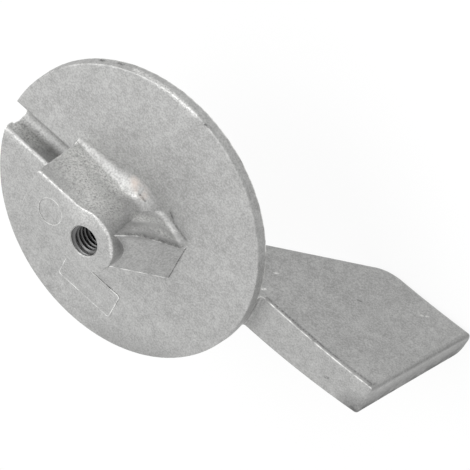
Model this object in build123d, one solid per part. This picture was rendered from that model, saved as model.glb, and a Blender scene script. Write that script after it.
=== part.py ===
from build123d import *
import os
from math import radians, tan

# Trim-tab sacrificial anode, one casting in aluminium anode alloy.
#
# Frame: +Z is the axis of the disc and of the tapped hole and points up into the gearcase,
# +X points aft along the fin, +Y is starboard. The origin is the centre of the mouth of the
# tapped hole, in the boss's top face. Sizes are in millimetres and angles in degrees.

NODE_NAME = "trim_tab_anode"

# Disc that lies against the anti-ventilation plate
DISC_DIAMETER = 95.0
DISC_THICKNESS = 3.7
DISC_RIM_DRAFT = 4.5
DISC_TOP_EDGE_RADIUS = 0.5

# Boss: a round nose about the tapped hole, and an arm that runs forward from it. The boss
# sits a little to starboard of the hole. The arm's flares narrow towards its end.
BOSS_HEIGHT = 19.4
BOSS_OFFSET = 0.4
BOSS_TOP_EDGE_RADIUS = 0.4
NOSE_RADIUS = 10.2
NOSE_DRAFT = 1.0
NOSE_FLARE_RADIUS = 5.0
ARM_REACH = 22.8
ARM_WIDTH = 17.6
ARM_DRAFT = 4.0
ARM_END_DRAFT = 2.0
ARM_CORNER_RADIUS = 1.5
ARM_NOSE_BLEND_RADIUS = 5.0
ARM_ROOT_FLARE_RADIUS = 4.6
ARM_END_FLARE_RADIUS = 1.0

# Gusset that slopes down from the nose to the disc on the aft side, measured where it meets
# the disc. Its starboard side runs straight to a bend, then narrows to the toe.
GUSSET_REACH = 21.7
GUSSET_ROOT_PORT = 5.7
GUSSET_TOE_PORT = 7.0
GUSSET_TOE_STARBOARD = 6.0
GUSSET_SHOULDER_REACH = 16.4
GUSSET_SHOULDER = 8.6
GUSSET_BEND_REACH = 11.0
GUSSET_STARBOARD = 10.5
GUSSET_ROOT_STARBOARD = 8.6
GUSSET_SLOPE = 49.0
GUSSET_TOE_HEIGHT = 0.4
GUSSET_DRAFT = 5.0
GUSSET_CORNER_RADIUS = 4.0
GUSSET_FLARE_RADIUS = 1.7

# Tapped hole, 3/8-16 UNC: the bore has the thread's major diameter
THREAD_MAJOR_DIAMETER = 9.525
HOLE_DEPTH = 18.0
HOLE_CHAMFER = 0.3
DRILL_POINT_ANGLE = 118.0

# Groove from the forward rim to the boss, and the keel under the disc that it is sunk into
GROOVE_WIDTH = 10.5
GROOVE_DEPTH = 8.6
GROOVE_CORNER_RADIUS = 3.0
GROOVE_EDGE_RADIUS = 1.2
KEEL_WALL = 3.5
KEEL_CORNER_RADIUS = 5.0
KEEL_AFT = 24.0
KEEL_END_RADIUS = 4.0
KEEL_SETBACK = 0.8

# Fin: a flat starboard face that bends to starboard near its trailing edge, and a port face
# and a perimeter that are drafted from it. The rake is how far the trailing face leans aft for
# each millimetre to port.
FIN_STARBOARD = 6.4
FIN_TOP_DROP = 6.4
FIN_TIP_DROP = 56.0
FIN_TOP_THICKNESS = 13.9
FIN_TIP_THICKNESS = 11.0
FIN_TOP_REACH = 89.0
FIN_TIP_OVERHANG = 8.7
FIN_LEADING_REACH = 65.0
FIN_LEADING_SWEEP = 44.0
FIN_LEADING_CORNER_RADIUS = 13.0
FIN_EDGE_DRAFT = 1.0
FIN_AFT_RAKE = 0.03
FIN_NOSING_RADIUS = 3.5
FIN_EDGE_RADIUS = 1.0
FIN_BEND_START = 62.0
FIN_TOP_BEND_RADIUS = 240.0
FIN_TIP_BEND_RADIUS = 435.0
FIN_PORT_STRAIGHT = 2.5
FIN_PORT_TOP_BEND_RADIUS = 225.0
FIN_PORT_TIP_BEND_RADIUS = 420.0
FIN_RIM_FILLET = 0.8
FIN_ROOT_SETBACK = 0.2

# Shallow raised field on the disc to port of the boss, and round pin mark on the arm's top
FIELD_FORWARD = 9.8
FIELD_AFT = 11.5
FIELD_OUTER = 36.3
FIELD_INNER = 26.5
FIELD_HEIGHT = 0.2
FIELD_CORNER_RADIUS = 0.8
PIN_MARK_FORWARD = 13.4
PIN_MARK_DIAMETER = 8.4
PIN_MARK_DEPTH = 0.15

# Levels, all from the top of the boss
DISC_TOP = -BOSS_HEIGHT
DISC_BOTTOM = DISC_TOP - DISC_THICKNESS
DISC_MIDDLE = DISC_TOP - DISC_THICKNESS / 2
GROOVE_FLOOR = DISC_TOP - GROOVE_DEPTH
KEEL_BOTTOM = GROOVE_FLOOR - KEEL_WALL
FIN_TOP = DISC_TOP - FIN_TOP_DROP
FIN_TIP = DISC_TOP - FIN_TIP_DROP

DISC_RADIUS = DISC_DIAMETER / 2
FIN_PORT_BEND_START = DISC_RADIUS + FIN_PORT_STRAIGHT
FIN_TIP_REACH = FIN_TOP_REACH + FIN_TIP_OVERHANG
ARM_FOOT_REACH = ARM_REACH + BOSS_HEIGHT * tan(radians(ARM_END_DRAFT))
CUT_MARGIN = 5.0


def make_disc() -> Part:
    """Disc with a drafted rim and a rounded top edge."""
    top_radius = DISC_RADIUS - DISC_THICKNESS * tan(radians(DISC_RIM_DRAFT))
    disc = Pos(0, 0, DISC_BOTTOM) * Cone(
        DISC_RADIUS, top_radius, DISC_THICKNESS, align=(Align.CENTER, Align.CENTER, Align.MIN)
    )
    top_edge = disc.edges().filter_by(GeomType.CIRCLE).sort_by(Axis.Z)[-1]
    return fillet(top_edge, DISC_TOP_EDGE_RADIUS)


def make_nose() -> Part:
    """Drafted round of the boss about the tapped hole."""
    foot_radius = NOSE_RADIUS + BOSS_HEIGHT * tan(radians(NOSE_DRAFT))
    return Pos(0, BOSS_OFFSET, 0) * Cone(
        foot_radius, NOSE_RADIUS, BOSS_HEIGHT, align=(Align.CENTER, Align.CENTER, Align.MAX)
    )


def make_nose_on_disc() -> Part:
    """Disc and nose, with the flare between them."""
    body = make_disc() + make_nose()
    foot = body.edges().filter_by_position(Axis.Z, DISC_TOP, DISC_TOP).sort_by(SortBy.LENGTH)[0]
    return fillet(foot, NOSE_FLARE_RADIUS)


def make_arm() -> Part:
    """Arm with drafted sides and end, its two upright end corners rounded."""
    length = ARM_REACH + CUT_MARGIN
    outline = Pos(-length / 2, BOSS_OFFSET) * Rectangle(length, ARM_WIDTH)
    arm = extrude(outline, amount=BOSS_HEIGHT, dir=(0, 0, -1), taper=-ARM_DRAFT)
    arm = arm - make_arm_end_cutter() - aft_of(0)
    end_edges = arm.faces().sort_by(Axis.X)[0].edges().sort_by(Axis.Y)
    return fillet([end_edges[0], end_edges[-1]], ARM_CORNER_RADIUS)


def make_arm_flares() -> Part:
    """Concave flares along the foot of the arm's two sides, wider towards the nose."""
    sections = []
    for station, radius in (
        (-ARM_FOOT_REACH - 1, ARM_END_FLARE_RADIUS),
        (0, ARM_ROOT_FLARE_RADIUS),
    ):
        wall = ARM_WIDTH / 2 + (BOSS_HEIGHT - radius) * tan(radians(ARM_DRAFT))
        outline = Curve() + [
            Line((0, 0), (wall + radius, 0)),
            RadiusArc((wall + radius, 0), (wall, radius), radius),
            Line((wall, radius), (0, radius)),
            Line((0, radius), (0, 0)),
        ]
        sections.append(Plane.YZ.offset(station) * Pos(0, DISC_TOP) * make_face(outline))
    starboard = loft(sections, ruled=True) - make_arm_end_cutter()
    return Pos(0, BOSS_OFFSET, 0) * (starboard + mirror(starboard, about=Plane.XZ))


def make_boss() -> Part:
    """Nose and arm, blended into each other, with the arm's flares."""
    boss = make_nose() + make_arm()
    blend_edges = [
        edge
        for edge in boss.edges()
        if abs((edge @ 0).Z - (edge @ 1).Z) > BOSS_HEIGHT / 2 and (edge @ 0.5).X > -ARM_REACH / 2
    ]
    return fillet(blend_edges, ARM_NOSE_BLEND_RADIUS) + make_arm_flares()


def make_arm_end_cutter() -> Part:
    """What lies forward of the arm's end face."""
    section = Plane.XZ * Polygon(
        (-ARM_FOOT_REACH, DISC_TOP),
        (-ARM_REACH, 0),
        (-ARM_REACH, CUT_MARGIN),
        (-DISC_RADIUS, CUT_MARGIN),
        (-DISC_RADIUS, DISC_TOP),
        align=None,
    )
    return extrude(section, amount=DISC_RADIUS, both=True)


def aft_of(station: float) -> Part:
    """Everything aft of a station along the part."""
    return Pos(station, 0, 0) * Box(
        DISC_DIAMETER, DISC_DIAMETER, DISC_DIAMETER, align=(Align.MIN, Align.CENTER, Align.CENTER)
    )


def make_gusset() -> Part:
    """Gusset on a slab of the disc: flared foot, slope, and a rounded starboard edge."""
    outline = Polygon(
        (0, -GUSSET_ROOT_PORT),
        (GUSSET_REACH, -GUSSET_TOE_PORT),
        (GUSSET_REACH, GUSSET_TOE_STARBOARD),
        (GUSSET_SHOULDER_REACH, GUSSET_SHOULDER),
        (GUSSET_BEND_REACH, GUSSET_STARBOARD),
        (0, GUSSET_ROOT_STARBOARD),
        align=None,
    )
    bends = outline.vertices().filter_by_position(Axis.Y, GUSSET_SHOULDER, GUSSET_STARBOARD)
    outline = fillet(bends, GUSSET_CORNER_RADIUS)
    block = extrude(Pos(0, 0, DISC_TOP) * outline, amount=BOSS_HEIGHT, taper=GUSSET_DRAFT)
    slab = Pos(0, 0, DISC_MIDDLE) * Box(
        GUSSET_REACH + CUT_MARGIN,
        2 * (GUSSET_STARBOARD + CUT_MARGIN),
        DISC_TOP - DISC_MIDDLE,
        align=(Align.MIN, Align.CENTER, Align.MIN),
    )
    body = block + slab
    foot = body.edges().filter_by_position(Axis.Z, DISC_TOP, DISC_TOP)
    foot = foot.filter_by_position(Axis.Y, 0, GUSSET_STARBOARD)
    body = fillet(foot.filter_by_position(Axis.X, 0, GUSSET_REACH), GUSSET_FLARE_RADIUS)
    return body - make_slope_cutter()


def make_slope_cutter() -> Part:
    """What lies above the gusset's slope."""
    toe = DISC_TOP + GUSSET_TOE_HEIGHT
    top = CUT_MARGIN
    run = (top - toe) / tan(radians(GUSSET_SLOPE))
    section = Plane.XZ * Polygon(
        (GUSSET_REACH, toe),
        (DISC_RADIUS, toe),
        (DISC_RADIUS, top),
        (GUSSET_REACH - run, top),
        align=None,
    )
    return extrude(section, amount=DISC_RADIUS, both=True)


def make_hole() -> Part:
    """Bore, drill point and mouth chamfer of the tapped hole."""
    bore_radius = THREAD_MAJOR_DIAMETER / 2
    point_depth = bore_radius / tan(radians(DRILL_POINT_ANGLE / 2))
    section = Plane.XZ * Polygon(
        (0, CUT_MARGIN),
        (bore_radius + HOLE_CHAMFER, CUT_MARGIN),
        (bore_radius + HOLE_CHAMFER, 0),
        (bore_radius, -HOLE_CHAMFER),
        (bore_radius, -HOLE_DEPTH),
        (0, -HOLE_DEPTH - point_depth),
        align=None,
    )
    return revolve(section, Axis.Z)


def make_pin_mark() -> Part:
    """Shallow round mark in the top of the arm."""
    return Pos(-PIN_MARK_FORWARD, 0, 0) * Cylinder(
        PIN_MARK_DIAMETER / 2,
        PIN_MARK_DEPTH + CUT_MARGIN,
        align=(Align.CENTER, Align.CENTER, Align.MIN),
    ).moved(Pos(0, 0, -PIN_MARK_DEPTH))


def make_field() -> Part:
    """Shallow raised field with rounded corners on the disc, to port of the boss."""
    width = FIELD_FORWARD + FIELD_AFT
    depth = FIELD_OUTER - FIELD_INNER
    centre = Pos(FIELD_AFT - width / 2, depth / 2 - FIELD_OUTER, DISC_MIDDLE)
    outline = centre * RectangleRounded(width, depth, FIELD_CORNER_RADIUS)
    return extrude(outline, amount=DISC_THICKNESS / 2 + FIELD_HEIGHT)


def make_channel(width: float, floor: float, corner_radius: float, reach: float) -> Part:
    """Bar with two rounded lower corners, from a floor up to mid-disc, forward to a reach."""
    section = Pos(0, (floor + DISC_MIDDLE) / 2) * Rectangle(width, DISC_MIDDLE - floor)
    section = fillet(section.vertices().group_by(Axis.Y)[0], corner_radius)
    return extrude(Plane.YZ * section, amount=-reach)


def make_keel() -> Part:
    """Rib under the disc that gives the groove its floor and walls, ending near the rim."""
    width = GROOVE_WIDTH + 2 * KEEL_WALL
    keel = make_channel(width, KEEL_BOTTOM, KEEL_CORNER_RADIUS, KEEL_AFT + DISC_RADIUS)
    keel = Pos(KEEL_AFT, 0, 0) * keel
    aft_edges = keel.faces().sort_by(Axis.X)[-1].edges().sort_by(Axis.Z)[:-1]
    return fillet(aft_edges, KEEL_END_RADIUS) & make_rim_limit(KEEL_SETBACK)


def make_rim_limit(setback: float) -> Part:
    """Cylinder that ends what hangs from the disc at a setback from the rim."""
    return Pos(0, 0, DISC_MIDDLE) * Cylinder(
        DISC_RADIUS - setback, FIN_TIP_DROP, align=(Align.CENTER, Align.CENTER, Align.MAX)
    )


def make_groove() -> Part:
    """Round-cornered groove from the rim to the boss, its upper edges rounded over."""
    channel = Pos(0, (GROOVE_FLOOR + DISC_TOP) / 2) * Rectangle(
        GROOVE_WIDTH, DISC_TOP - GROOVE_FLOOR
    )
    channel = fillet(channel.vertices().group_by(Axis.Y)[0], GROOVE_CORNER_RADIUS)
    above = Pos(0, DISC_TOP) * Rectangle(DISC_RADIUS, CUT_MARGIN, align=(Align.CENTER, Align.MIN))
    section = channel + above
    mouth = section.vertices().filter_by_position(Axis.X, -GROOVE_WIDTH / 2, GROOVE_WIDTH / 2)
    section = fillet(mouth.group_by(Axis.Y)[-1], GROOVE_EDGE_RADIUS)
    groove = extrude(Plane.YZ * section, amount=-DISC_DIAMETER)
    return groove - aft_of(-ARM_FOOT_REACH)


def fin_thickness(level: float) -> float:
    """Thickness of the fin at a level, straight from its top to its tip."""
    share = (FIN_TOP - level) / (FIN_TOP - FIN_TIP)
    return FIN_TOP_THICKNESS + share * (FIN_TIP_THICKNESS - FIN_TOP_THICKNESS)


def blade_outline(level: float, starboard_bend: float, port_bend: float) -> Face:
    """Plan of the fin at one level: straight sides that bend to starboard towards the aft end."""
    aft = FIN_TIP_REACH + CUT_MARGIN
    starboard = FIN_STARBOARD
    starboard_end = starboard + (aft - FIN_BEND_START) ** 2 / (2 * starboard_bend)
    port = starboard - fin_thickness(level)
    port_end = port + (aft - FIN_PORT_BEND_START) ** 2 / (2 * port_bend)
    outline = Curve() + [
        Line((0, starboard), (FIN_BEND_START, starboard)),
        TangentArc((FIN_BEND_START, starboard), (aft, starboard_end), tangent=(1, 0)),
        Line((aft, starboard_end), (aft, port_end)),
        TangentArc((FIN_PORT_BEND_START, port), (aft, port_end), tangent=(1, 0)),
        Line((FIN_PORT_BEND_START, port), (0, port)),
        Line((0, port), (0, starboard)),
    ]
    return Pos(0, 0, level) * make_face(outline).face()


def make_blade() -> Part:
    """The fin's two sides, larger than the fin all round, thinner towards the tip."""
    tip = blade_outline(FIN_TIP - CUT_MARGIN, FIN_TIP_BEND_RADIUS, FIN_PORT_TIP_BEND_RADIUS)
    top = blade_outline(DISC_MIDDLE, FIN_TOP_BEND_RADIUS, FIN_PORT_TOP_BEND_RADIUS)
    return loft([tip, top], ruled=True)


def fin_profile(side: float) -> Sketch:
    """Side view of the fin in an upright plane at a distance to starboard of the axis."""
    across = FIN_STARBOARD - side
    inset = across * tan(radians(FIN_EDGE_DRAFT))
    top = FIN_TOP - inset
    tip = FIN_TIP + inset
    lead_reach = FIN_LEADING_REACH - inset / tan(radians(FIN_LEADING_SWEEP / 2))
    lead_run = (top - tip) / tan(radians(FIN_LEADING_SWEEP))
    aft_slope = FIN_TIP_OVERHANG / (FIN_TOP - FIN_TIP)
    aft_reach = FIN_TOP_REACH + across * FIN_AFT_RAKE
    profile = Polygon(
        (lead_reach - lead_run, top),
        (lead_reach, tip),
        (aft_reach + aft_slope * (FIN_TOP - tip), tip),
        (aft_reach + aft_slope * (FIN_TOP - top), top),
        align=None,
    )
    leading_corner = profile.vertices().group_by(Axis.Y)[0].sort_by(Axis.X)[0]
    profile = fillet(leading_corner, FIN_LEADING_CORNER_RADIUS)
    return Plane.XZ.offset(-side) * profile


def make_fin_perimeter() -> Part:
    """Side view of the fin carried across it: drafted edges and a raked trailing face."""
    return loft([fin_profile(2 * FIN_STARBOARD), fin_profile(-2 * FIN_STARBOARD)], ruled=True)


def make_root_band() -> Part:
    """Space between the fin's top and mid-disc, ending just inside the rim."""
    band = Pos(0, 0, DISC_MIDDLE) * Box(
        DISC_RADIUS,
        DISC_DIAMETER,
        DISC_MIDDLE - FIN_TOP + CUT_MARGIN,
        align=(Align.MIN, Align.CENTER, Align.MAX),
    )
    return band & make_rim_limit(FIN_ROOT_SETBACK)


def make_nosed_fin() -> Part:
    """Fin below its root, rounded all along the leading and tip edges."""
    fin = make_blade() & make_fin_perimeter()
    nosing = [
        edge
        for edge in fin.edges()
        if abs((edge @ 0).X - (edge @ 1).X) > 1
        and (edge @ 0.5).Z < FIN_TOP - 2
        and (edge @ 0.5).X < FIN_TOP_REACH - 3
    ]
    return fillet(nosing, FIN_NOSING_RADIUS)


def make_fin() -> Part:
    """Fin with its root: filleted to the rim, its top and aft edges rounded."""
    fin = make_nosed_fin() + (make_blade() & make_root_band())
    rim_junction = [
        edge
        for edge in fin.edges().filter_by(lambda edge: edge.length > FIN_TIP_THICKNESS)
        if abs((edge @ 0.5).X - DISC_RADIUS) < 0.5 and DISC_BOTTOM > (edge @ 0.5).Z > FIN_TOP - 2
    ]
    fin = fillet(rim_junction, FIN_RIM_FILLET)
    top_edges = [
        edge
        for edge in fin.edges()
        if (edge @ 0.5).X > DISC_RADIUS + FIN_RIM_FILLET
        and (edge @ 0.5).Y < FIN_STARBOARD / 2
        and (edge @ 0.5).Z > FIN_TOP - 1
    ]
    aft_port_edge = [
        edge
        for edge in fin.edges()
        if (edge @ 0.5).X > FIN_TOP_REACH and (edge @ 0.5).Y < 0 and edge.length > FIN_TIP_DROP / 2
    ]
    return fillet(top_edges + aft_port_edge, FIN_EDGE_RADIUS)


def make_anode() -> Part:
    """The whole casting with its groove, tapped hole and marks."""
    body = make_nose_on_disc() + make_boss() + make_gusset()
    body = body + make_keel() + make_fin() + make_field() - make_groove()
    top_edges = body.faces().sort_by(Axis.Z)[-1].edges()
    return fillet(top_edges, BOSS_TOP_EDGE_RADIUS) - make_pin_mark() - make_hole()


def main() -> None:
    """Build the casting and write it as a STEP file."""
    anode = make_anode()
    anode.label = NODE_NAME
    os.makedirs("parts", exist_ok=True)
    export_step(anode, f"parts/{NODE_NAME}.step")
    print(f"{NODE_NAME}: {anode.volume:.0f} mm3, {len(anode.solids())} solid")


if __name__ == "__main__":
    main()
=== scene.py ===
"""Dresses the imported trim-tab anode: as-cast anode alloy, the thread in its tapped hole, stage and light.

Lengths are in metres, or in millimetres where the name or the docstring says so, in the part's
own frame: the origin is the centre of the mouth of the tapped hole, +X runs aft along the fin,
+Y is starboard and +Z points up out of the hole.
"""

import logging
from dataclasses import dataclass
from enum import Enum
from typing import Any, Sequence

import bmesh
import bpy
import numpy as np
from mathutils import Matrix, Vector


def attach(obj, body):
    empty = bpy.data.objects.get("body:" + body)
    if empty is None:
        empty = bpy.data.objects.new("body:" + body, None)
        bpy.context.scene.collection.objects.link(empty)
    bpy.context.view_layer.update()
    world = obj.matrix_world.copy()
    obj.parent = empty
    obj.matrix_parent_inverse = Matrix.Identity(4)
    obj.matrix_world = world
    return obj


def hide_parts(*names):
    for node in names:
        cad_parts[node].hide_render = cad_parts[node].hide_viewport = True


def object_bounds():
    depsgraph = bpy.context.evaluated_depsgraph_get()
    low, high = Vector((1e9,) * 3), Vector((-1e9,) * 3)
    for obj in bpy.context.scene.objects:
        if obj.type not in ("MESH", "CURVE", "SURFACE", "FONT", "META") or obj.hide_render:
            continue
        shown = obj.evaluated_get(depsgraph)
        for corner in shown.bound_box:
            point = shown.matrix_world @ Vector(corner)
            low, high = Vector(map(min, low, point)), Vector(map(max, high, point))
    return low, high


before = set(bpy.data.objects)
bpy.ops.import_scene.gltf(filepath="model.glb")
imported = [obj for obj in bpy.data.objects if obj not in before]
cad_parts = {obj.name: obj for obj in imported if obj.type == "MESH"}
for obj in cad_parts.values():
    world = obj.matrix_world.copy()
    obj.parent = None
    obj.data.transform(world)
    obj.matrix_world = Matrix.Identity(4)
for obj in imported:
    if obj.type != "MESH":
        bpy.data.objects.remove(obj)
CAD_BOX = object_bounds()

LOG = logging.getLogger("trim_tab_anode")
MM = 0.001
NODE = "trim_tab_anode"
BODY = "root"
WHITE = (1.0, 1.0, 1.0, 1.0)
AO_SAMPLES = 8

# Sockets of a mix node for colours, by number because their names repeat for each data type.
MIX_SHARE = 0
MIX_BASE = 6
MIX_OVER = 7
MIX_RESULT = 2

Triple = tuple[float, float, float]


class MarkKind(Enum):
    """What a mark does to the skin."""

    PIT = "darker and sunk"
    # Scrapes, and painted highlights where light falls on walls and edges.
    SCRAPE_AND_HIGHLIGHT = "burnished bright"
    # Painted shade: darkened where shade falls, with no relief.
    PAINTED_SHADE = "darkened but not sunk"
    WARM_TINT = "faintly discoloured"


def linear(hex_colour: str) -> tuple[float, float, float, float]:
    """Turns an sRGB hex colour into linear RGBA, by the standard's straight foot and power curve.

    Args:
        hex_colour: Colour written as "#rrggbb".

    Returns:
        Linear red, green and blue with an alpha of 1.
    """
    values = np.array([int(hex_colour[i : i + 2], 16) for i in (1, 3, 5)]) / 255.0
    flat = np.where(values <= 0.04045, values / 12.92, ((values + 0.055) / 1.055) ** 2.4)
    return (float(flat[0]), float(flat[1]), float(flat[2]), 1.0)


def empty_tree(owner: bpy.types.Material | bpy.types.World) -> bpy.types.NodeTree:
    """Gives a material or a world an empty node tree.

    Args:
        owner: What the nodes belong to.

    Returns:
        The tree.
    """
    owner.use_nodes = True
    owner.node_tree.nodes.clear()
    return owner.node_tree


def add_node(tree: bpy.types.NodeTree, kind: str, inputs: dict[Any, Any], **settings: Any) -> Any:
    """Adds one node with its settings, socket values and links.

    Args:
        tree: Node tree that gets the node.
        kind: Blender's name for the node type.
        inputs: Socket name or number to a value, to an output socket that is linked to it, or to a
            node whose first output is linked to it.
        settings: Properties set on the node itself.

    Returns:
        The new node.
    """
    node = tree.nodes.new(kind)
    for name, value in settings.items():
        setattr(node, name, value)
    for key, value in inputs.items():
        source = value.outputs[0] if isinstance(value, bpy.types.Node) else value
        if isinstance(source, bpy.types.NodeSocket):
            tree.links.new(source, node.inputs[key])
        else:
            node.inputs[key].default_value = source
    return node


def millimetres(tree: bpy.types.NodeTree) -> bpy.types.Node:
    """Object coordinates in millimetres.

    Args:
        tree: Node tree that gets the nodes.

    Returns:
        Node whose first output is the place on the part.
    """
    place = add_node(tree, "ShaderNodeTexCoord", {}).outputs["Object"]
    inputs = {"Vector": place, "Scale": 1.0 / MM}
    return add_node(tree, "ShaderNodeVectorMath", inputs, operation="SCALE")


def weighted_sum(
    tree: bpy.types.NodeTree, values: Sequence[Any], weights: Triple
) -> bpy.types.NodeSocket:
    """Adds three values up, each times its weight.

    Args:
        tree: Node tree that gets the nodes.
        values: The three values.
        weights: Weight of each.

    Returns:
        The sum.
    """
    joined = add_node(tree, "ShaderNodeCombineXYZ", dict(enumerate(values)))
    inputs = {0: joined, 1: weights}
    return add_node(tree, "ShaderNodeVectorMath", inputs, operation="DOT_PRODUCT").outputs["Value"]


def mesh_object(name: str, points: np.ndarray, faces: np.ndarray) -> bpy.types.Object:
    """Makes an object at the origin from whole arrays.

    Args:
        name: Name of the object and its mesh.
        points: Vertex positions in metres, one row each.
        faces: Vertex numbers of the quads, one row each.

    Returns:
        The linked object.
    """
    mesh = bpy.data.meshes.new(name)
    mesh.from_pydata(points.tolist(), [], faces.tolist())
    mesh.update()
    piece = bpy.data.objects.new(name, mesh)
    bpy.context.scene.collection.objects.link(piece)
    return piece


@dataclass(frozen=True)
class Noise:
    """A noise pattern: how wide its blobs are on the part, and how many octaves of finer ones."""

    size_mm: float
    octaves: float

    def inputs(self, coords: bpy.types.Node) -> dict[str, Any]:
        """Inputs of a noise node that is laid out on coordinates in millimetres."""
        return {"Vector": coords, "Scale": 1.0 / self.size_mm, "Detail": self.octaves}


@dataclass(frozen=True)
class Band:
    """The value that gives a share of 0 and the one that gives 1, with a straight run between."""

    none_at: float
    full_at: float

    def inputs(self, value: Any) -> dict[str, Any]:
        """Inputs of a map-range node that turns a value into its share."""
        return {"Value": value, "From Min": self.none_at, "From Max": self.full_at}


@dataclass(frozen=True)
class Mark:
    """One rough-edged streak, spot or broad shade on the skin; places and reach in millimetres."""

    kind: MarkKind
    start: Triple
    end: Triple
    reach: float
    strength: float = 1.0


@dataclass(frozen=True)
class AsCastAlloy:
    """Aluminium anode alloy as it leaves a permanent mould: matte, faintly mottled, finely grained.

    Bare metal, so it is fully metallic, but its oxide skin scatters light and keeps it rough.
    The sharp edges are a little brighter and smoother, as handling wear and as painted highlight,
    and the inner corners carry painted shade. The marks are one casting's pits and scrapes, a faint
    warm tint, and painted highlights and painted shade on its walls and edges. The real grain is
    too fine to show, so it is drawn coarser.
    The bands are values of the noise, and for edges and corners shares of open sky.
    """

    skin: str = "#b1b1b0"
    skin_dark: str = "#929291"
    # Colour of burnished edges and scrapes, and of the painted highlights.
    burnished_and_highlight: str = "#ececea"
    # Colour of pits, and of the painted shade in corners and marks.
    pits_and_painted_shade: str = "#4c4c4c"
    # A faint warm tint.
    warm_tint: str = "#b7a79c"
    roughness: float = 0.62
    bright_roughness: float = 0.42
    flow: Noise = Noise(14.0, 3.0)
    mottle: Noise = Noise(2.6, 4.0)
    grain: Noise = Noise(0.55, 2.0)
    tone_weights: Triple = (0.16, 0.30, 0.54)
    tone_band: Band = Band(0.36, 0.64)
    patch_band: Band = Band(0.35, 0.60)
    speck_band: Band = Band(0.38, 0.56)
    scrape_and_highlight_band: Band = Band(0.26, 0.60)
    shade_breakup_band: Band = Band(0.20, 0.60)
    # Edges brightened as handling wear and as painted highlight.
    edge_mm: float = 0.5
    edge_band: Band = Band(0.90, 0.60)
    # Painted shade in the inner corners, from the share of open sky.
    corner_mm: float = 2.0
    corner_band: Band = Band(0.80, 0.35)
    corner_shade_film: float = 0.30
    corner_shade_specks: float = 0.45
    relief_weights: Triple = (0.35, 0.65, -0.8)
    relief_strength: float = 0.6
    relief_mm: float = 0.16

    def build(self, marks: Sequence[Mark]) -> bpy.types.Material:
        """Builds the material from object-space noise at real sizes.

        Args:
            marks: The casting's own marks.

        Returns:
            The finished material.
        """
        material = bpy.data.materials.new("as_cast_anode_alloy")
        tree = empty_tree(material)
        coords = millimetres(tree)
        flow, mottle, grain = (
            add_node(tree, "ShaderNodeTexNoise", noise.inputs(coords))
            for noise in (self.flow, self.mottle, self.grain)
        )
        spread = weighted_sum(tree, (flow, mottle, grain), self.tone_weights)
        tone, patches, specks, streaks, shade_breakup = (
            add_node(tree, "ShaderNodeMapRange", band.inputs(value))
            for band, value in (
                (self.tone_band, spread),
                (self.patch_band, mottle),
                (self.speck_band, grain),
                (self.scrape_and_highlight_band, grain),
                (self.shade_breakup_band, mottle),
            )
        )
        # Scrapes, and painted highlights on walls and edges.
        scraped_and_lit = self.cover(tree, coords, marks, MarkKind.SCRAPE_AND_HIGHLIGHT, streaks)
        pitted = self.cover(tree, coords, marks, MarkKind.PIT, specks)
        # Painted shade from the painted-shade marks, broken up by the mottle.
        painted_shade = self.cover(tree, coords, marks, MarkKind.PAINTED_SHADE, shade_breakup)
        warm_tinted = self.cover(tree, coords, marks, MarkKind.WARM_TINT, patches)
        # Worn edges with painted highlight, and painted shade in the inner corners.
        worn_and_lit = self.edge_wear_and_highlight(tree, patches)
        shaded_corners = self.painted_corner_shade(tree, specks)
        bright = add_node(tree, "ShaderNodeMath", {0: worn_and_lit, 1: scraped_and_lit}, operation="MAXIMUM")
        dark = add_node(tree, "ShaderNodeMath", {0: shaded_corners, 1: pitted}, operation="MAXIMUM")
        dark = add_node(tree, "ShaderNodeMath", {0: dark, 1: painted_shade}, operation="MAXIMUM")

        colour: Any = linear(self.skin_dark)
        layers = (
            (tone, self.skin),
            (bright, self.burnished_and_highlight),
            (dark, self.pits_and_painted_shade),
            (warm_tinted, self.warm_tint),
        )
        for share, over in layers:
            inputs = {MIX_SHARE: share, MIX_BASE: colour, MIX_OVER: linear(over)}
            colour = add_node(tree, "ShaderNodeMix", inputs, data_type="RGBA").outputs[MIX_RESULT]

        relief = weighted_sum(tree, (mottle, grain, pitted), self.relief_weights)
        bump = add_node(
            tree,
            "ShaderNodeBump",
            {"Height": relief, "Strength": self.relief_strength, "Distance": self.relief_mm * MM},
        )
        matte = add_node(
            tree,
            "ShaderNodeMapRange",
            {"Value": bright, "To Min": self.roughness, "To Max": self.bright_roughness},
        )
        metal = add_node(
            tree,
            "ShaderNodeBsdfPrincipled",
            {"Base Color": colour, "Metallic": 1.0, "Roughness": matte, "Normal": bump},
        )
        add_node(tree, "ShaderNodeOutputMaterial", {"Surface": metal})
        return material

    def edge_wear_and_highlight(self, tree: bpy.types.NodeTree, patches: bpy.types.Node) -> bpy.types.Node:
        """Burnishing and painted highlight on the outer edges, broken into patches.

        Args:
            tree: Node tree that gets the nodes.
            patches: Which parts of the edges are brightened.

        Returns:
            Node whose first output is a share from 0 to 1.
        """
        convex = add_node(
            tree,
            "ShaderNodeAmbientOcclusion",
            {"Distance": self.edge_mm * MM},
            inside=True,
            samples=AO_SAMPLES,
        ).outputs["AO"]
        edge = add_node(tree, "ShaderNodeMapRange", self.edge_band.inputs(convex))
        return add_node(tree, "ShaderNodeMath", {0: edge, 1: patches}, operation="MULTIPLY")

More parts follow.
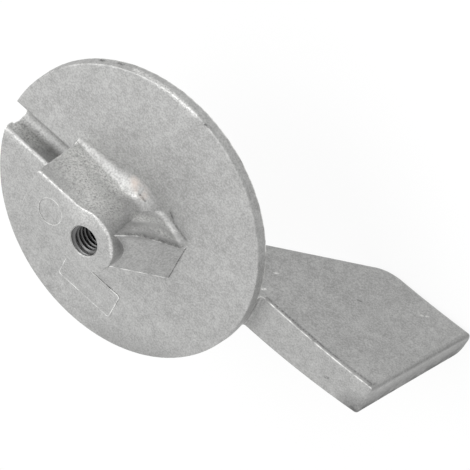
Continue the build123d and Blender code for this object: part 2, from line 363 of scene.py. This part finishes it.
    def painted_corner_shade(self, tree: bpy.types.NodeTree, specks: bpy.types.Node) -> bpy.types.Node:
        """Painted shade in the inner corners, darker where less open sky reaches them: a thin film with
        specks in it.

        Args:
            tree: Node tree that gets the nodes.
            specks: Where the fine grain keeps it out.

        Returns:
            Node whose first output is a share from 0 to 1.
        """
        open_sky = add_node(
            tree,
            "ShaderNodeAmbientOcclusion",
            {"Distance": self.corner_mm * MM},
            samples=AO_SAMPLES,
        ).outputs["AO"]
        depth = add_node(tree, "ShaderNodeMapRange", self.corner_band.inputs(open_sky))
        held = add_node(tree, "ShaderNodeMath", {0: 1.0, 1: specks}, operation="SUBTRACT")
        film = add_node(tree, "ShaderNodeMath", {0: depth, 1: self.corner_shade_film}, operation="MULTIPLY")
        spread = add_node(
            tree, "ShaderNodeMath", {0: held, 1: self.corner_shade_specks, 2: film}, operation="MULTIPLY_ADD"
        )
        return add_node(tree, "ShaderNodeMath", {0: depth, 1: spread}, operation="MULTIPLY")

    @staticmethod
    def cover(
        tree: bpy.types.NodeTree,
        coords: bpy.types.Node,
        marks: Sequence[Mark],
        kind: MarkKind,
        texture: bpy.types.Node,
    ) -> bpy.types.Node:
        """Share of the skin that the marks of one kind cover.

        A mark is full at the line from its start to its end and fades to nothing at its reach.

        Args:
            tree: Node tree that gets the nodes.
            coords: Coordinates in millimetres.
            marks: All the marks.
            kind: The kind that counts.
            texture: Pattern that breaks the marks up.

        Returns:
            Node whose first output is a share from 0 to 1.
        """
        total: Any = 0.0
        for mark in marks:
            if mark.kind is not kind:
                continue
            run = Vector(mark.end) - Vector(mark.start)
            away = add_node(
                tree, "ShaderNodeVectorMath", {0: coords, 1: mark.start}, operation="SUBTRACT"
            )
            along = add_node(
                tree, "ShaderNodeVectorMath", {0: away, 1: run}, operation="DOT_PRODUCT"
            ).outputs["Value"]
            passed = Band(0.0, run.length_squared)
            share = add_node(tree, "ShaderNodeMapRange", passed.inputs(along))
            nearest = add_node(
                tree, "ShaderNodeVectorMath", {"Vector": run, "Scale": share}, operation="SCALE"
            )
            gap = add_node(
                tree, "ShaderNodeVectorMath", {0: away, 1: nearest}, operation="DISTANCE"
            ).outputs["Value"]
            near = add_node(tree, "ShaderNodeMapRange", Band(mark.reach, 0.0).inputs(gap))
            faded = add_node(
                tree, "ShaderNodeMath", {0: near, 1: mark.strength}, operation="MULTIPLY"
            )
            total = add_node(tree, "ShaderNodeMath", {0: faded, 1: total}, operation="MAXIMUM")
        return add_node(tree, "ShaderNodeMath", {0: total, 1: texture}, operation="MULTIPLY")


CASTING_MARKS = (
    # Nicks and a dark line on the disc's starboard rim.
    Mark(MarkKind.PIT, (-29.3, 37.3, -22.0), (-28.2, 38.0, -21.6), 1.1),
    Mark(MarkKind.PIT, (-23.8, 41.0, -21.8), (-22.6, 41.7, -21.6), 1.0),
    Mark(MarkKind.PIT, (7.9, 46.4, -19.4), (9.2, 46.4, -19.8), 0.8),
    Mark(MarkKind.PIT, (9.5, 46.5, -20.4), (30.6, 36.2, -20.4), 0.7, 0.45),
    # Pits at the foot of the boss and along the gusset's foot.
    Mark(MarkKind.PIT, (1.7, 12.0, -17.7), (4.4, 11.4, -17.8), 0.5),
    Mark(MarkKind.PIT, (12.0, 13.5, -19.4), (14.8, 11.0, -19.4), 0.6, 0.8),
    Mark(MarkKind.PIT, (15.8, 10.6, -19.4), (20.6, 9.1, -19.4), 0.7, 0.6),
    # Two dark lines down the gusset's starboard wall, the second near its upper edge.
    Mark(MarkKind.PIT, (6.9, 8.9, -9.8), (12.5, 9.6, -15.7), 1.5, 0.5),
    Mark(MarkKind.PIT, (12.5, 9.6, -15.7), (18.1, 8.3, -19.0), 1.2, 0.5),
    Mark(MarkKind.PIT, (8.6, 8.9, -4.8), (12.5, 9.1, -9.2), 1.5, 0.7),
    Mark(MarkKind.PIT, (12.5, 9.1, -9.2), (20.8, 6.8, -18.8), 1.4, 0.6),
    # A pit in the fin's starboard side, the dark line under its top, and pits in the top.
    Mark(MarkKind.PIT, (66.3, 6.4, -52.7), (67.2, 6.4, -53.2), 0.6, 0.7),
    Mark(MarkKind.PIT, (48.5, 6.4, -26.8), (70.0, 6.5, -27.0), 0.7, 0.8),
    Mark(MarkKind.PIT, (70.0, 6.5, -27.0), (88.0, 7.8, -27.4), 0.7, 0.8),
    Mark(MarkKind.PIT, (75.8, -1.1, -25.9), (76.6, -0.6, -25.9), 0.7, 0.9),
    Mark(MarkKind.PIT, (87.6, 7.6, -26.6), (88.6, 8.0, -28.4), 1.0, 0.7),
    # Scrapes with painted highlight on the rim, a painted highlight on the boss's flare,
    # and scrapes on the fin's starboard side.
    Mark(MarkKind.SCRAPE_AND_HIGHLIGHT, (-18.1, 43.7, -20.8), (-6.2, 46.8, -20.0), 1.2, 0.7),
    Mark(MarkKind.SCRAPE_AND_HIGHLIGHT, (-6.2, 46.8, -20.0), (4.6, 46.8, -19.6), 1.1, 0.7),
    Mark(MarkKind.SCRAPE_AND_HIGHLIGHT, (-2.2, 10.9, -15.0), (1.0, 11.1, -16.6), 1.6, 0.7),
    Mark(MarkKind.SCRAPE_AND_HIGHLIGHT, (45.4, 6.4, -28.2), (46.0, 6.4, -29.2), 0.5, 0.9),
    Mark(MarkKind.SCRAPE_AND_HIGHLIGHT, (43.8, 6.4, -37.2), (44.6, 6.4, -38.0), 0.5, 0.8),
    Mark(MarkKind.SCRAPE_AND_HIGHLIGHT, (82.6, 7.0, -66.0), (84.3, 7.1, -67.6), 0.5, 0.5),
    # Broad painted highlights on the arm's starboard wall, on its foot and on the gusset's wall.
    Mark(MarkKind.SCRAPE_AND_HIGHLIGHT, (-20.0, 10.3, -13.0), (-4.0, 10.4, -5.0), 9.0, 0.58),
    Mark(MarkKind.SCRAPE_AND_HIGHLIGHT, (-21.0, 10.3, -15.4), (-3.0, 10.8, -15.4), 4.2, 0.62),
    Mark(MarkKind.SCRAPE_AND_HIGHLIGHT, (7.0, 9.2, -12.5), (17.0, 8.8, -18.0), 3.0, 0.5),
    # Painted highlight along the edge of the boss's top, from the arm's starboard side round
    # to aft of the hole.
    Mark(MarkKind.SCRAPE_AND_HIGHLIGHT, (-22.0, 9.2, 0.0), (-7.0, 9.2, 0.0), 1.0, 0.55),
    Mark(MarkKind.SCRAPE_AND_HIGHLIGHT, (-7.0, 9.2, 0.0), (-1.0, 10.5, 0.0), 1.0, 0.55),
    Mark(MarkKind.SCRAPE_AND_HIGHLIGHT, (-1.0, 10.5, 0.0), (6.2, 8.5, 0.0), 1.0, 0.5),
    Mark(MarkKind.SCRAPE_AND_HIGHLIGHT, (6.2, 8.5, 0.0), (10.0, 2.5, 0.0), 1.0, 0.4),
    # Painted highlight on the groove's port edge, and painted light on its port wall near the mouth.
    Mark(MarkKind.SCRAPE_AND_HIGHLIGHT, (-46.0, -5.6, -19.4), (-24.0, -5.6, -19.4), 0.9, 0.4),
    Mark(MarkKind.SCRAPE_AND_HIGHLIGHT, (-46.5, -5.2, -23.3), (-38.0, -5.2, -23.3), 5.0, 0.55),
    # Painted shade in the corner between the nose and the gusset.
    Mark(MarkKind.PAINTED_SHADE, (8.6, 6.4, -2.6), (9.8, 3.0, -4.8), 2.6, 0.42),
    Mark(MarkKind.PAINTED_SHADE, (7.4, 8.4, -2.4), (6.2, 8.8, -9.5), 2.4, 0.36),
    # Broad painted shade on the fin's trailing face, and a painted dark line down its starboard edge.
    Mark(MarkKind.PAINTED_SHADE, (89.4, -4.2, -26.0), (97.9, -1.6, -73.0), 8.5, 1.0),
    Mark(MarkKind.PAINTED_SHADE, (89.4, 7.0, -27.0), (97.0, 7.8, -73.0), 1.6, 0.5),
    # Faint painted shade along the disc's port edge, aft.
    Mark(MarkKind.PAINTED_SHADE, (12.0, -44.5, -19.4), (22.0, -41.5, -19.4), 7.0, 0.26),
    Mark(MarkKind.PAINTED_SHADE, (22.0, -41.5, -19.4), (33.0, -34.0, -19.4), 7.0, 0.26),
    # A faint warm tint where the boss's flare meets the disc.
    Mark(MarkKind.WARM_TINT, (-1.7, 13.3, -18.7), (2.4, 12.6, -18.4), 2.6, 0.5),
)


@dataclass(frozen=True)
class CutThreadMetal:
    """The same alloy where the tap has cut it: smooth along the cut, and darker as painted shade inside the
    hole.
    """

    # Painted shade: darker than the cast skin, as the inside of the hole falls in shade.
    colour: str = "#6e6e6e"
    roughness: float = 0.45
    tearing: Noise = Noise(0.4, 2.0)
    tearing_strength: float = 0.25
    tearing_mm: float = 0.05

    def build(self) -> bpy.types.Material:
        """Builds the material.

        Returns:
            The finished material.
        """
        material = bpy.data.materials.new("tapped_anode_alloy")
        tree = empty_tree(material)
        torn = add_node(tree, "ShaderNodeTexNoise", self.tearing.inputs(millimetres(tree)))
        bump = add_node(
            tree,
            "ShaderNodeBump",
            {"Height": torn, "Strength": self.tearing_strength, "Distance": self.tearing_mm * MM},
        )
        metal = add_node(
            tree,
            "ShaderNodeBsdfPrincipled",
            {
                "Base Color": linear(self.colour),
                "Metallic": 1.0,
                "Roughness": self.roughness,
                "Normal": bump,
            },
        )
        add_node(tree, "ShaderNodeOutputMaterial", {"Surface": metal})
        return material


@dataclass
class Casting:
    """The anode's one casting: the node's own shape, joined up and given its cast skin."""

    name: str = "anode_casting"
    crease_degrees: float = 19.0
    merge_gap: float = 0.001 * MM

    def build(self, skin: bpy.types.Material) -> bpy.types.Object:
        """Copies the node's mesh, merges its loose triangles and shades it smooth up to creases.

        Args:
            skin: Material of the cast surface.

        Returns:
            The casting.
        """
        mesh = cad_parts[NODE].data.copy()
        mesh.name = self.name
        shell = bmesh.new()
        shell.from_mesh(mesh)
        bmesh.ops.remove_doubles(shell, verts=shell.verts, dist=self.merge_gap)
        shell.to_mesh(mesh)
        shell.free()
        mesh.attributes.remove(mesh.attributes["custom_normal"])
        mesh.materials.clear()
        mesh.materials.append(skin)
        mesh.shade_smooth()
        mesh.set_sharp_from_angle(angle=np.radians(self.crease_degrees))
        piece = bpy.data.objects.new(self.name, mesh)
        bpy.context.scene.collection.objects.link(piece)
        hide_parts(NODE)
        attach(piece, BODY)
        return piece


@dataclass
class TappedThread:
    """Right-hand 3/8-16 UNC internal thread: one helical ridge that stands in from the bore wall.

    Half widths are shares of the pitch, shoulder_height and end_height are shares of the ridge's
    height, end_width is a share of its width, and bite is how far its root reaches into the wall.
    """

    major_radius: float = 4.7625 * MM
    ridge_height: float = 0.86 * MM
    pitch: float = 1.5875 * MM
    top: float = -0.9 * MM
    bottom: float = -16.9 * MM
    root_half_width: float = 0.43
    shoulder_half_width: float = 0.13
    crest_half_width: float = 0.09
    shoulder_height: float = 0.92
    end_height: float = 0.02
    end_width: float = 0.4
    bite: float = 0.05 * MM
    sides_per_turn: int = 80
    crease_degrees: float = 50.0

    def section(self) -> tuple[np.ndarray, np.ndarray]:
        """The ridge's closed section, from its upper side in the bore wall to its lower one.

        Returns:
            Height of each point above the bore wall, and its offset along the axis.
        """
        heights = np.array([0.0, self.shoulder_height, 1.0]) * self.ridge_height
        heights = np.append(-self.bite, heights)
        widths = np.array([self.root_half_width, self.shoulder_half_width, self.crest_half_width])
        widths = np.append(self.root_half_width, widths) * self.pitch
        return np.append(heights, heights[::-1]), np.append(widths, -widths[::-1])

    def surface(self) -> tuple[np.ndarray, np.ndarray]:
        """Sweeps the ridge's section down the helix.

        A point at angle a lies at height top - pitch * a / 2 pi plus its offset along the axis,
        and at the major radius less its height. The ridge grows and fades over its first and
        last half turn.

        Returns:
            Vertex positions, and the quads between neighbouring sections.
        """
        turns = (self.top - self.bottom) / self.pitch
        angle = np.linspace(0.0, 2.0 * np.pi * turns, int(turns * self.sides_per_turn) + 1)
        angle = angle[:, None]
        height, offset = self.section()
        fade = np.clip(np.minimum(angle, angle[-1] - angle) / np.pi, self.end_height, 1.0)
        radius = self.major_radius - np.where(height < 0.0, height, height * fade)
        along = self.top - self.pitch * angle / (2.0 * np.pi)
        along = along + offset * (self.end_width + (1.0 - self.end_width) * fade)
        points = np.stack([radius * np.cos(angle), -radius * np.sin(angle), along], axis=2)
        rows, columns = radius.shape
        row_start = np.arange(rows - 1)[:, None] * columns
        column = np.arange(columns)
        corner = (row_start + column).ravel()
        beside = (row_start + (column + 1) % columns).ravel()
        quads = np.stack([corner, corner + columns, beside + columns, beside], axis=1)
        return points.reshape(-1, 3), quads

    def build(self, metal: bpy.types.Material) -> bpy.types.Object:
        """Makes the ridge, closes its two ends and turns its faces outwards.

        Args:
            metal: Material of the cut thread.

        Returns:
            The thread piece.
        """
        points, quads = self.surface()
        piece = mesh_object("tapped_thread", points, quads)
        shell = bmesh.new()
        shell.from_mesh(piece.data)
        bmesh.ops.holes_fill(shell, edges=shell.edges, sides=len(self.section()[0]))
        bmesh.ops.recalc_face_normals(shell, faces=shell.faces)
        shell.to_mesh(piece.data)
        shell.free()
        piece.data.materials.append(metal)
        piece.data.shade_smooth()
        piece.data.set_sharp_from_angle(angle=np.radians(self.crease_degrees))
        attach(piece, BODY)
        return piece


@dataclass(frozen=True)
class Lamp:
    """One soft square lamp that faces the part: its side and distance in metres, power in watts."""

    name: str
    towards: Triple
    distance: float
    size: float
    power: float

    def build(self) -> None:
        """Adds the lamp."""
        data = bpy.data.lights.new(self.name, "AREA")
        data.shape = "SQUARE"
        data.size = self.size
        data.energy = self.power
        lamp = bpy.data.objects.new(self.name, data)
        bpy.context.scene.collection.objects.link(lamp)
        direction = Vector(self.towards).normalized()
        lamp.location = direction * self.distance
        lamp.rotation_euler = direction.to_track_quat("Z", "Y").to_euler()


LAMPS = (
    Lamp("key", (-0.55, 0.25, 0.75), 0.9, 0.55, 3.8),
    Lamp("overhead", (-0.30, -0.55, 0.80), 1.2, 1.0, 2.7),
    Lamp("rim_light", (-0.85, 0.50, 0.12), 1.0, 0.5, 2.2),
    Lamp("starboard_fill", (0.10, 0.95, 0.30), 1.1, 0.8, 4.8),
    Lamp("aft_fill", (0.75, -0.60, 0.25), 1.1, 0.7, 1.1),
)


@dataclass
class Studio:
    """Plain pale floor, white surround, soft lamps and the camera."""

    focal_px: float = 1850.0
    frame_px: float = 470.0
    sensor_mm: float = 36.0
    clip_start: float = 0.01
    clip_end: float = 20.0
    camera_place: Triple = (0.1375, 0.3637, 0.3655)
    camera_right: Triple = (0.7365, 0.3939, -0.5499)
    camera_up: Triple = (-0.6460, 0.6506, -0.3993)
    camera_back: Triple = (0.2004, 0.6493, 0.7337)
    surround: float = 0.75
    floor_gap: float = 0.335 * MM
    floor_reach: float = 3.0
    floor_paint: str = "#f2f2f2"
    floor_glow: float = 0.9

    def camera(self) -> None:
        """Places the camera; its focal length gives focal_px pixels across a frame_px frame."""
        data = bpy.data.cameras.new("camera")
        data.sensor_width = self.sensor_mm
        data.lens = self.sensor_mm * self.focal_px / self.frame_px
        data.clip_start = self.clip_start
        data.clip_end = self.clip_end
        camera = bpy.data.objects.new("camera", data)
        bpy.context.scene.collection.objects.link(camera)
        turn = Matrix((self.camera_right, self.camera_up, self.camera_back)).transposed()
        camera.matrix_world = Matrix.Translation(Vector(self.camera_place)) @ turn.to_4x4()
        bpy.context.scene.camera = camera

    @staticmethod
    def seen_white(tree: bpy.types.NodeTree) -> bpy.types.Node:
        """Share of 1 for rays that show the surround: camera, glossy and transmission rays.

        Args:
            tree: Node tree that gets the nodes.

        Returns:
            Node whose first output is the share.
        """
        rays = add_node(tree, "ShaderNodeLightPath", {}).outputs
        total: Any = 0.0
        for ray in ("Is Camera Ray", "Is Glossy Ray", "Is Transmission Ray"):
            inputs = {0: rays[ray], 1: total}
            total = add_node(tree, "ShaderNodeMath", inputs, operation="MAXIMUM")
        return total

    def world(self) -> None:
        """White surround where the camera looks, an even dimmer light elsewhere."""
        world = bpy.data.worlds.new("surround")
        tree = empty_tree(world)
        light, white = (
            add_node(tree, "ShaderNodeBackground", {"Color": WHITE, "Strength": strength})
            for strength in (self.surround, 1.0)
        )
        seen = self.seen_white(tree)
        both = add_node(tree, "ShaderNodeMixShader", {0: seen, 1: light, 2: white})
        add_node(tree, "ShaderNodeOutputWorld", {"Surface": both})
        bpy.context.scene.world = world

    def floor(self) -> None:
        """Lays a wide pale floor that the camera sees as white with the part's faint shadow."""
        level = CAD_BOX[0][2] - self.floor_gap
        square = np.array([[-1.0, -1.0], [1.0, -1.0], [1.0, 1.0], [-1.0, 1.0]]) * self.floor_reach
        corners = np.column_stack([square, np.full(len(square), level)])
        floor = mesh_object("floor", corners, np.array([[0, 1, 2, 3]]))
        material = bpy.data.materials.new("pale_floor")
        tree = empty_tree(material)
        paint = add_node(tree, "ShaderNodeBsdfDiffuse", {"Color": linear(self.floor_paint)})
        white = add_node(tree, "ShaderNodeEmission", {"Color": WHITE, "Strength": 1.0})
        shown = add_node(tree, "ShaderNodeMixShader", {0: self.floor_glow, 1: paint, 2: white})
        seen = self.seen_white(tree)
        both = add_node(tree, "ShaderNodeMixShader", {0: seen, 1: paint, 2: shown})
        add_node(tree, "ShaderNodeOutputMaterial", {"Surface": both})
        floor.data.materials.append(material)

    def build(self) -> None:
        """Sets up camera, lamps, surround and floor."""
        self.camera()
        for lamp in LAMPS:
            lamp.build()
        self.world()
        self.floor()
        bpy.context.scene.view_settings.view_transform = "Standard"


def main() -> None:
    """Builds the stage, then each piece in order, and reports it."""
    logging.basicConfig(level=logging.INFO, format="%(name)s: %(message)s")
    Studio().build()
    pieces = [
        Casting().build(AsCastAlloy().build(CASTING_MARKS)),
        TappedThread().build(CutThreadMetal().build()),
    ]
    for piece in pieces:
        LOG.info("%s: %d faces", piece.name, len(piece.data.polygons))


if __name__ == "__main__":
    main()
